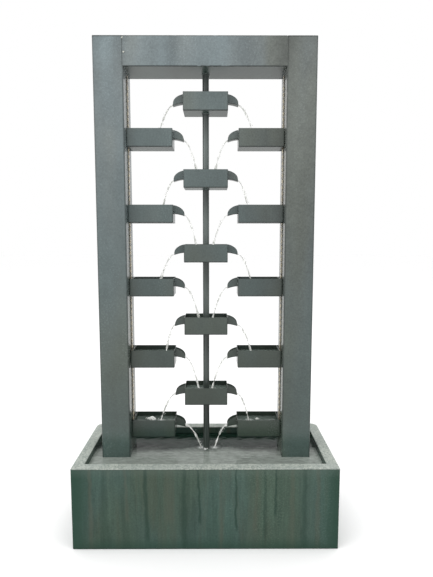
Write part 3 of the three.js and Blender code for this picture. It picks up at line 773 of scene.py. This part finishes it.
def bead(patches, path, radius, seed, lump=0.25):
    """A weld bead: a circle carried along a path, its radius rippling as the weld was laid."""
    chance = np.random.default_rng(seed)
    path = np.asarray(path, float)
    along = np.gradient(path, axis=0)
    along /= np.linalg.norm(along, axis=1)[:, None]
    helper = np.where(np.abs(along[:, 2:3]) > 0.9, [[1.0, 0, 0]], [[0, 0, 1.0]])
    first = np.cross(along, helper)
    first /= np.linalg.norm(first, axis=1)[:, None]
    second = np.cross(along, first)
    angle = np.linspace(0, 2 * math.pi, 10, endpoint=False)
    ripple = lump * np.sin(np.arange(len(path)) * 1.9)
    size = radius * (1 + ripple + chance.normal(0, lump / 2, len(path)))
    size[[0, -1]] *= 0.3
    angle = angle[:, None]
    circle = np.cos(angle) * first[:, None] + np.sin(angle) * second[:, None]
    patches.loft(path[:, None] + circle * size[:, None, None])


def frame_welds():
    """Dressed beads down the header's joints, with two proud lumps left on the left one."""
    low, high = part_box("header")
    patches = Patches()
    for side in (-1, 1):
        x = side * high.x
        down = np.linspace(high.z - 2 * MM, low.z + 1 * MM, 50)
        for y in (low.y + 1.3 * MM, high.y - 1.3 * MM):
            bead(patches, [(x + side * 0.5 * MM, y, z) for z in down], 1.45 * MM, 3 + side, 0.08)
        below = [
            (x - side * 0.6 * MM, y, low.z - 0.2 * MM)
            for y in np.linspace(low.y + 4 * MM, high.y - 4 * MM, 50)
        ]
        bead(patches, below, 1.1 * MM, 5 + side)
        over = [
            (x, y, high.z - 0.9 * MM) for y in np.linspace(low.y + 3 * MM, high.y - 3 * MM, 50)
        ]
        bead(patches, over, 1.1 * MM, 8 + side, 0.08)
    patches.build("header_welds", "patina")
    lumps = Patches()
    for place, down, size in ((-1.5, 6, 1.7), (2.0, 42, 1.9)):
        x, z = -high.x + place * MM, high.z - down * MM
        across = np.linspace(-1.6, 1.6, 7) * MM
        path = [(x + shift, low.y + 0.3 * MM, z + 1.5 * shift) for shift in across]
        bead(lumps, path, size * MM, 11, 0.15)
    lumps.build("header_weld_lumps", "bare_weld", slot="patina")


# ---------------------------------------------------------------- bowls

def tray(outer, inner, base, rim, steps):
    """A folded open box: rings climb the outside from the underside to the rim, cross the sheet's
    edge and go down the inside to the floor, each bend a quarter circle."""
    floor = base + SHEET
    brim = 0.35 * MM
    outside = [
        (BEND + NEAR_BEND, base, 0),
        *bend(BEND, base + BEND, BEND, 270, 180),
        (0, base + BEND + NEAR_BEND, 0),
        (0, rim - NEAR_BEND, 0),
        *[(a, b, 0.5) for a, b, _ in bend(brim, rim - brim, brim, 180, 90, 3)],
    ]
    inside = [
        *[(a, b, 0.4) for a, b, _ in bend(-brim, rim - brim, brim, 90, 0, 3)],
        (0, rim - NEAR_BEND, 0),
        (0, floor + BEND + NEAR_BEND, 0),
        *bend(BEND, floor + BEND, BEND, 180, 270),
        (BEND + NEAR_BEND, floor, 0),
    ]
    corner = 1.8 * MM
    outer_grid, outer_marks = rings(outer, (corner, corner), outside, steps, 4)
    inner_grid, inner_marks = rings(inner, (0.5 * MM, 0.5 * MM), inside, steps, 4)
    grid = np.concatenate([outer_grid, inner_grid])
    marks = np.concatenate([outer_marks, inner_marks])
    return Patches().loft(grid, marks)


def notch(x, rim, half_width=9.5 * MM, drop=22.5 * MM):
    """The gap in an end wall where a spout starts."""
    return box_mesh(
        (x - 3 * MM, MID_Y - half_width, rim - drop), (x + 3 * MM, MID_Y + half_width, rim + MM),
    )


def centre_bowl(tier):
    """A tray with a notch in each end wall for its two spouts."""
    node = f"centre_bowl_{tier}"
    low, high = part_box(node)
    outer = (low.x, high.x, low.y, high.y)
    inner = (low.x + SHEET, high.x - SHEET, low.y + SHEET, high.y - SHEET)
    piece = tray(outer, inner, low.z, high.z, (8, 5)).build(
        f"{node}_tray", "bowl_patina", slot="patina", stands_for=[node],
    )
    carve(piece, notch(low.x, high.z), notch(high.x, high.z))


def side_bowl(side, tier):
    """As a centre bowl, but the front and rear walls run on past the end wall to the post."""
    node = f"{side}_bowl_{tier}"
    low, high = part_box(node)
    outer = (low.x, high.x, low.y, high.y)
    if side == "left":
        inner_x = (low.x + STRIP_CHANNEL + SHEET, high.x - SHEET)
        channel_x = (low.x - MM, low.x + STRIP_CHANNEL)
        spout_wall = high.x
    else:
        inner_x = (low.x + SHEET, high.x - STRIP_CHANNEL - SHEET)
        channel_x = (high.x - STRIP_CHANNEL, high.x + MM)
        spout_wall = low.x
    inner = (*inner_x, low.y + SHEET, high.y - SHEET)
    piece = tray(outer, inner, low.z, high.z, (8, 5)).build(
        f"{node}_tray", "bowl_patina", slot="patina", stands_for=[node],
    )
    channel = box_mesh(
        (channel_x[0], low.y + SHEET, low.z - MM),
        (channel_x[1], high.y - SHEET, high.z + MM),
    )
    carve(piece, notch(spout_wall, high.z), channel)


def bezier(t, *controls):
    """A Bezier curve of any degree: each control point weighted by its Bernstein polynomial."""
    degree = len(controls) - 1
    t = np.asarray(t)[:, None]
    return sum(
        math.comb(degree, i) * (1 - t) ** (degree - i) * t ** i * np.array(control)
        for i, control in enumerate(controls)
    )


def chute_edges(reach):
    """The spout's side view: the cheek's top edge, a cubic curve that dives at the nose, and its
    underside, a shallow curve down to the tip. Returns distances out and both edges' heights."""
    t = np.linspace(0, 1, 26)
    top = bezier(t, (0, 0), (14, -2.5), (31, -11.5), (28.5, -28)) * MM
    under = bezier(t, (0, -24), (14.25, -25), (28.7, -30.2)) * MM
    out = top[:, 0] * reach / top[:, 0].max()
    return out, top[:, 1], np.interp(out, under[:, 0], under[:, 1])


def mirrored(section):
    """A stretch of section seen in a mirror across the middle, run through backwards."""
    return [(-across, *rest) for across, *rest in reversed(section)]


def spout(node, direction):
    """A folded chute: a U section whose cheeks and floor follow the side view's two edges."""
    low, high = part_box(node)
    root = low.x if direction > 0 else high.x
    out, top, under = chute_edges(high.x - low.x)
    half = (high.y - low.y) / 2
    inside = half - SHEET
    fold = 1.6 * MM
    lip = 0.3 * MM
    near = 1.6 * MM
    ease = 1.2 * MM
    cheek = [
        (-half, 1, -near, 0), (-half, 1, -lip, 1), (-half + lip, 1, 0, 1),
        (-inside - lip, 1, 0, 1), (-inside, 1, -lip, 1), (-inside, 1, -near, 0),
        (-inside, 0, SHEET + ease, 0), (-inside + 0.35 * MM, 0, SHEET + 0.35 * MM, 0),
        (-inside + ease, 0, SHEET, 0),
    ]
    underside = [
        (half, 0, fold + near, 0), (half, 0, fold, 0.7), (half - 0.3 * fold, 0, 0.3 * fold, 1),
        (half - fold, 0, 0, 0.7), (half - fold - near, 0, 0, 0),
    ]
    section = [
        *cheek, (0, 0, SHEET, 0), *mirrored(cheek), *underside, *mirrored(underside),
    ]
    across, on_top, rise, folds = (np.array(column, float) for column in zip(*section))
    height = on_top * top[:, None] + (1 - on_top) * under[:, None] + rise
    floor_side = np.where(on_top > 0, under[:, None] + SHEET + 0.2 * MM + rise + near, -1.0)
    height = np.maximum(height, floor_side)
    grid = np.stack([
        np.broadcast_to(root + direction * out[:, None], height.shape),
        np.broadcast_to(MID_Y + across, height.shape),
        high.z + height,
    ], -1)
    marks = np.broadcast_to(folds, height.shape)
    Patches().loft(grid, marks).build(
        f"{node}_chute", "bowl_patina", slot="patina", stands_for=[node], crease=40,
    )


def riser_pole():
    """A tube turned about its axis, with a rounded weld collar under and over each bowl's floor."""
    low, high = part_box("riser_pole")
    sides = 48
    angle = np.linspace(0, 2 * math.pi, sides, endpoint=False)
    heights = np.linspace(low.z, high.z, 90)
    outside = [(POLE_RADIUS, z) for z in heights]
    profile = [*outside, (7.5 * MM, high.z), (7.5 * MM, low.z)]
    radius, level = (np.array(column) for column in zip(*profile))
    grid = np.stack([
        radius[:, None] * np.cos(angle),
        MID_Y + radius[:, None] * np.sin(angle),
        np.broadcast_to(level[:, None], (len(level), sides)),
    ], -1)
    faces = grid_quads(len(profile), sides, close_rows=True).tolist()
    Patches().add(grid, faces).build("riser_tube", "pole_paint", stands_for=["riser_pole"])

    collars = Patches()
    turn = np.linspace(0, 2 * math.pi, 61)
    levels = [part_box(f"centre_bowl_{tier}")[0].z for tier in range(1, TIERS + 1)]
    levels = [*[z - 0.3 * MM for z in levels], *[z + SHEET + 0.5 * MM for z in levels]]
    levels.append(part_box("header")[0].z - 0.3 * MM)
    for seed, z in enumerate(levels):
        path = np.column_stack([
            (POLE_RADIUS + 0.6 * MM) * np.cos(turn),
            MID_Y + (POLE_RADIUS + 0.6 * MM) * np.sin(turn),
            np.full(len(turn), z),
        ])
        bead(collars, path, 1.5 * MM, 20 + seed, 0.14)
    collars.build("pole_welds", "painted_weld", slot="pole_paint")


# ---------------------------------------------------------------- light strips

def light_strip(side):
    """A tape with a lamp every sixtieth of a metre, inside a clear sleeve with rounded shoulders."""
    node = f"{side}_light_strip"
    low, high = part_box(node)
    inward = 1 if side == "left" else -1
    wall = low.x if side == "left" else high.x
    depth = high.x - low.x
    half = (high.y - low.y) / 2
    middle = (high.y + low.y) / 2

    def slab(patches, out0, out1, half_width, z0, z1, round_off):
        """A bar lying along the strip: a rounded outline in X and Y carried between two heights."""
        x = sorted((wall + inward * out0, wall + inward * out1))
        profile = [
            *bend(round_off, z0 + round_off, round_off, 270, 180, 3),
            *bend(round_off, z1 - round_off, round_off, 180, 90, 3),
        ]
        box = (x[0], x[1], middle - half_width, middle + half_width)
        patches.loft(rings(box, (round_off, round_off), profile, (1, 1), 3)[0])

    tape = Patches()
    slab(tape, 0.2 * MM, 0.9 * MM, half - 1.0 * MM, low.z + MM, high.z - MM, 0.15 * MM)
    tape.build(f"{side}_light_tape", "strip_tape", slot="strip_sleeve", stands_for=[node])
    lamps = Patches()
    count = int((high.z - low.z - 10 * MM) / LAMP_PITCH)
    for i in range(count):
        centre = low.z + 8 * MM + i * LAMP_PITCH
        slab(lamps, 0.7 * MM, 2.7 * MM, 3.2 * MM, centre - 4.2 * MM, centre + 4.2 * MM, 0.4 * MM)
    lamps.build(f"{side}_lamps", "lamp", slot="strip_sleeve")
    sleeve = Patches()
    slab(sleeve, 0.0, depth, half, low.z, high.z, 0.9 * MM)
    sleeve.build(f"{side}_light_sleeve", "strip_sleeve")


# ---------------------------------------------------------------- water

# How far each stream lands from its spout's tip, in mm: left and right, from the top tier down.
CENTRE_THROWS = ((43, 44), (34, 31), (43, 41), (28, 42), (45, 36))
SIDE_THROWS = ((39, 39), (36, 44), (42, 44), (40, 45), (46, 37))


def stream(name, node, direction, throw, landing):
    """Water through a spout: a flattened ring carried out of the notch and along the chute, then
    down a parabola to the water below, while it draws in from a sheet to a cord."""
    low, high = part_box(node)
    reach = high.x - low.x
    root = low.x if direction > 0 else high.x
    out, _, under = chute_edges(reach)
    behind = 2 * MM
    chute_out = np.linspace(-behind, reach - 0.5 * MM, 12)
    floor = np.interp(chute_out, np.maximum.accumulate(out), under) + SHEET
    along = (chute_out + behind) / reach
    chute_thick = 8.6 * MM * (1 - along) + 2.6 * MM * along
    chute_up = floor + chute_thick / 2 + 0.2 * MM
    tip_out, tip_up = chute_out[-1], chute_up[-1]
    drop = high.z + tip_up - landing
    fall = np.linspace(0, 1, 44)[1:]
    steep = 0.22 * throw
    air_out = tip_out + throw * fall
    air_up = tip_up - steep * fall - (drop - steep) * fall ** 2
    out_all = np.concatenate([chute_out, air_out])
    up_all = np.concatenate([chute_up, air_up])
    chance = np.random.default_rng(int(landing * 10000) % 9973 + int(throw * 1e5))
    phase = chance.uniform(0, 6, 3)
    swell = 1 + 0.30 * np.sin(11 * fall + phase[0]) + 0.22 * np.sin(23 * fall + phase[1])
    pinch = 1 - 0.75 * np.exp(-((fall - chance.uniform(0.55, 0.95)) / 0.035) ** 2)
    sheet = np.exp(-fall * 3.2)
    wide = np.concatenate([
        np.full(len(chute_out), 9.1 * MM),
        9.0 * MM * sheet + 3.0 * MM * (1 - sheet) * swell * pinch,
    ])
    loose = (0.9 + 1.7 * fall) * MM * np.clip(swell, 0.35, 2) * pinch
    thick = np.concatenate([chute_thick / 2, loose])
    thick[12] = (thick[11] + thick[13]) / 2
    slope = np.stack([np.gradient(out_all), np.gradient(up_all)], 1)
    slope /= np.linalg.norm(slope, axis=1)[:, None]
    angle = np.linspace(0, 2 * math.pi, 14, endpoint=False)
    side = wide[:, None] * np.sign(np.cos(angle)) * np.abs(np.cos(angle)) ** 0.7
    lift = thick[:, None] * np.sign(np.sin(angle)) * np.abs(np.sin(angle)) ** 0.7
    grid = np.stack([
        root + direction * (out_all[:, None] - slope[:, 1:2] * lift),
        MID_Y + side,
        high.z + up_all[:, None] + slope[:, 0:1] * lift,
    ], -1)
    patches = Patches().loft(grid)
    count = 9
    late = chance.uniform(0.35, 1.0, count)
    loose_drops = np.column_stack([
        root + direction * (np.interp(late, fall, air_out) + chance.normal(0, 3.2, count) * MM),
        MID_Y + chance.normal(0, 4, count) * MM,
        high.z + np.interp(late, fall, air_up) + chance.normal(0, 3, count) * MM,
    ])
    drops(patches, loose_drops, chance.uniform(0.5, 1.2, count) * MM)
    patches.build(name, "falling_water", slot="water", crease=60)
    return root + direction * air_out[-1]


def drops(patches, centres, radii, squash=1.0):
    """Round drops: rings of six points about each centre, their radii the sine of the polar
    angle."""
    polar = np.linspace(0.25, math.pi - 0.25, 5)[:, None]
    turn = np.linspace(0, 2 * math.pi, 6, endpoint=False)
    ball = np.stack([
        np.sin(polar) * np.cos(turn),
        np.sin(polar) * np.sin(turn),
        np.broadcast_to(np.cos(polar) * squash, (5, 6)),
    ], -1)
    for centre, radius in zip(centres, radii):
        patches.loft(centre + ball * radius)


def froth(name, centre, spread, count, seed, largest=3.0):
    """A splash where water piles up: flattened drops scattered about a centre, largest inside."""
    chance = np.random.default_rng(seed)
    away = chance.normal(0, 1, (count, 3)) * np.array([1, 0.55, 0.22]) * spread
    radii = np.clip(largest - 1.1 * np.linalg.norm(away / spread, axis=1), 0.9, largest) * MM
    patches = Patches()
    drops(patches, np.array(centre) + away, radii, 0.7)
    patches.build(name, "foam", slot="water", crease=60)


def pool(name, box, level, depth, landings, finish, cells, rear_round=0.0):
    """Standing water: a grid whose height is the sum of ring waves round each place where a
    stream lands, falling off with distance, closed below by a flat bottom. Points past a round
    rear corner are pulled back to its arc."""
    x = np.linspace(box[0], box[1], cells[0])
    y = np.linspace(box[2], box[3], cells[1])
    x, y = np.meshgrid(x, y, indexing="ij")
    past_x = np.maximum(np.abs(x) - (box[1] - rear_round), 0)
    past_y = np.maximum(y - (box[3] - rear_round), 0)
    excess = 1 - np.minimum(1, rear_round / np.maximum(np.hypot(past_x, past_y), 1e-9))
    in_corner = (past_x > 0) & (past_y > 0)
    x = x - np.where(in_corner, np.sign(x) * past_x * excess, 0)
    y = y - np.where(in_corner, past_y * excess, 0)
    height = np.zeros_like(x)
    foam = np.zeros_like(x)
    for centre_x, centre_y, strength in landings:
        distance = np.hypot(x - centre_x, y - centre_y)
        calm = np.exp(-distance / (28 * MM))
        height += strength * MM * calm * np.cos(distance / (2.1 * MM))
        foam = np.maximum(foam, strength * np.exp(-(distance / (7.5 * MM)) ** 2))
    height += 0.25 * MM * np.sin(x * 130 + np.cos(y * 90)) * np.sin(y * 110 + 1)
    top = np.stack([x, y, level + height], -1)
    bottom = np.stack([x, y, np.full_like(x, level - depth)], -1)
    rows, columns = x.shape
    surface = grid_quads(rows, columns, close_columns=False)
    edge = np.concatenate([
        np.arange(columns),
        np.arange(1, rows) * columns + columns - 1,
        (rows - 1) * columns + np.arange(columns - 2, -1, -1),
        np.arange(rows - 2, 0, -1) * columns,
    ])
    under = edge + rows * columns
    wall = np.stack([edge, np.roll(edge, -1), np.roll(under, -1), under], -1)
    used = np.concatenate([surface, wall]).tolist()
    points = np.concatenate([top.reshape(-1, 3), bottom.reshape(-1, 3)])
    keep = np.zeros(len(points), bool)
    keep[: rows * columns] = True
    keep[under] = True
    number = np.cumsum(keep) - 1
    faces = [[number[i] for i in face] for face in used] + [[number[i] for i in under]]
    marks = np.concatenate([foam.ravel(), np.zeros(rows * columns)])[keep]
    patches = Patches().add(points[keep], faces, marks)
    patches.build(name, finish, slot="water", mark="foam", crease=60)


def cascade():
    """Every stream, then the water of the bowl or the basin that it lands in."""
    landings = {}
    for tier in range(1, TIERS + 1):
        for k, side in enumerate(("left", "right")):
            outward = -1 if side == "left" else 1
            bowl = f"{side}_bowl_{tier}"
            below = f"centre_bowl_{tier + 1}"
            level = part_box(bowl)[1].z - BOWL_WATER_DROP
            throw = CENTRE_THROWS[tier - 1][k] * MM
            node = f"centre_bowl_{tier}_{side}_spout"
            x = stream(f"centre_bowl_{tier}_{side}_stream", node, outward, throw, level)
            landings.setdefault(bowl, []).append((x, MID_Y, 0.9))
            last = tier == TIERS
            level = BASIN_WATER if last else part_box(below)[1].z - BOWL_WATER_DROP
            throw = SIDE_THROWS[tier - 1][k] * MM
            x = stream(f"{bowl}_stream", f"{bowl}_spout", -outward, throw, level)
            landings.setdefault("basin" if last else below, []).append((x, MID_Y, 0.9))
    for tier in range(1, TIERS + 1):
        for bowl in (f"centre_bowl_{tier}", f"left_bowl_{tier}", f"right_bowl_{tier}"):
            low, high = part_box(bowl)
            x0 = low.x + (STRIP_CHANNEL if bowl.startswith("left") else 0)
            x1 = high.x - (STRIP_CHANNEL if bowl.startswith("right") else 0)
            inset = SHEET + 0.1 * MM
            box = (x0 + inset, x1 - inset, low.y + inset, high.y - inset)
            spots = landings.get(bowl, [(0, MID_Y, 0.5)])
            level = high.z - BOWL_WATER_DROP
            pool(f"{bowl}_water", box, level, WATER_SLAB, spots, "bowl_water", (90, 52))
    low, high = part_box("basin")
    inset = SHEET + 0.2 * MM
    box = (low.x + inset, high.x - inset, low.y + inset, high.y - inset)
    spots = [*landings["basin"], (0, MID_Y, 0.5)]
    rear_round = BASIN_CORNERS[1] - inset
    cells = (240, 110)
    pool("basin_pool", box, BASIN_WATER, WATER_SLAB, spots, "basin_water", cells, rear_round)
    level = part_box("left_bowl_5")[1].z - BOWL_WATER_DROP + 3 * MM
    froth("left_bowl_5_froth", (-161 * MM, 12 * MM, level + 5 * MM), 6 * MM, 60, 3, 4.6)
    froth("right_bowl_5_froth", (150 * MM, 24 * MM, level - MM), 3.5 * MM, 12, 4)
    froth("pole_foot_froth", (0, MID_Y - 11 * MM, BASIN_WATER), 5 * MM, 16, 5)


# ---------------------------------------------------------------- assembly

basin()
post("left")
post("right")
header()
frame_welds()
riser_pole()
for tier in range(1, TIERS + 1):
    centre_bowl(tier)
    spout(f"centre_bowl_{tier}_left_spout", -1)
    spout(f"centre_bowl_{tier}_right_spout", 1)
    side_bowl("left", tier)
    spout(f"left_bowl_{tier}_spout", 1)
    side_bowl("right", tier)
    spout(f"right_bowl_{tier}_spout", -1)
light_strip("left")
light_strip("right")
cascade()

KEPT_NODES = {
    "zinc": (
        "left_foot_bracket", "right_foot_bracket", "left_foot_post_bolt", "right_foot_post_bolt",
        "left_foot_floor_bolt", "right_foot_floor_bolt", "lower_hose_clamp", "upper_hose_clamp",
    ),
    "rubber": ("lead_grommet", "riser_plug"),
    "black_plastic": ("pump_housing", "pump_volute", "pump_strainer"),
    "white_plastic": ("pump_rotor", "flow_dial"),
    "ceramic": ("rotor_shaft",),
    "clear_hose": ("supply_hose",),
}
for finish, names in KEPT_NODES.items():
    for name in names:
        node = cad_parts[name]
        node.data.materials.clear()
        node.data.materials.append(FINISH[finish])


# ---------------------------------------------------------------- studio

def floor():
    """A pale floor that turns whiter with the distance from its middle."""
    mesh = bpy.data.meshes.new("floor")
    size = 20.0
    corners = [(x * size, y * size, 0) for x, y in ((-1, -1), (1, -1), (1, 1), (-1, 1))]
    mesh.from_pydata(corners, [], [(0, 1, 2, 3)])
    plane = new_object("floor", mesh)
    paint = Paint("pale_floor")
    away = (paint.x * paint.x + paint.y * paint.y).root()
    colour = paint.mix(paint.noise(2, 1), tint(236, 236, 236), tint(241, 241, 241))
    colour = paint.mix(away.ease(1.0, 3.2), colour, (1, 1, 1, 1))
    mesh.materials.append(paint.finish(base_color=colour, roughness=0.9))


def softbox(name, place, towards, width, height, power):
    """A rectangular soft light that faces a point."""
    light = bpy.data.lights.new(name, "AREA")
    light.shape = "RECTANGLE"
    light.size = width
    light.size_y = height
    light.energy = power
    lamp = new_object(name, light)
    lamp.location = place
    aim = np.array(towards, float) - np.array(place, float)
    lamp.rotation_euler = Vector(aim).to_track_quat("-Z", "Y").to_euler()


def studio():
    """A white room: an even bright world, a broad light overhead and a weaker one from the left."""
    scene = bpy.context.scene
    world = bpy.data.worlds.new("white_room")
    world.use_nodes = True
    background = world.node_tree.nodes["Background"]
    background.inputs["Color"].default_value = (1, 1, 1, 1)
    background.inputs["Strength"].default_value = 1.0
    scene.world = world
    scene.view_settings.view_transform = "Standard"
    softbox("overhead", (0.0, -0.3, 3.2), (0, 0, 0.6), 2.6, 2.0, 60)
    softbox("from_left", (-2.4, -2.2, 1.8), (0, 0, 0.8), 1.6, 1.8, 16)


def camera():
    """The camera stands a little right of the middle, level with the fourth tier, tipped down."""
    tipped_down, turned_right = 6.14, 0.2
    data = bpy.data.cameras.new("camera")
    data.lens = 30.63
    data.sensor_width = 36
    eye = new_object("camera", data)
    eye.location = (0.0250, -1.3851, 0.8314)
    eye.rotation_euler = (math.radians(90 - tipped_down), 0, math.radians(-turned_right))
    bpy.context.scene.camera = eye


floor()
studio()
camera()
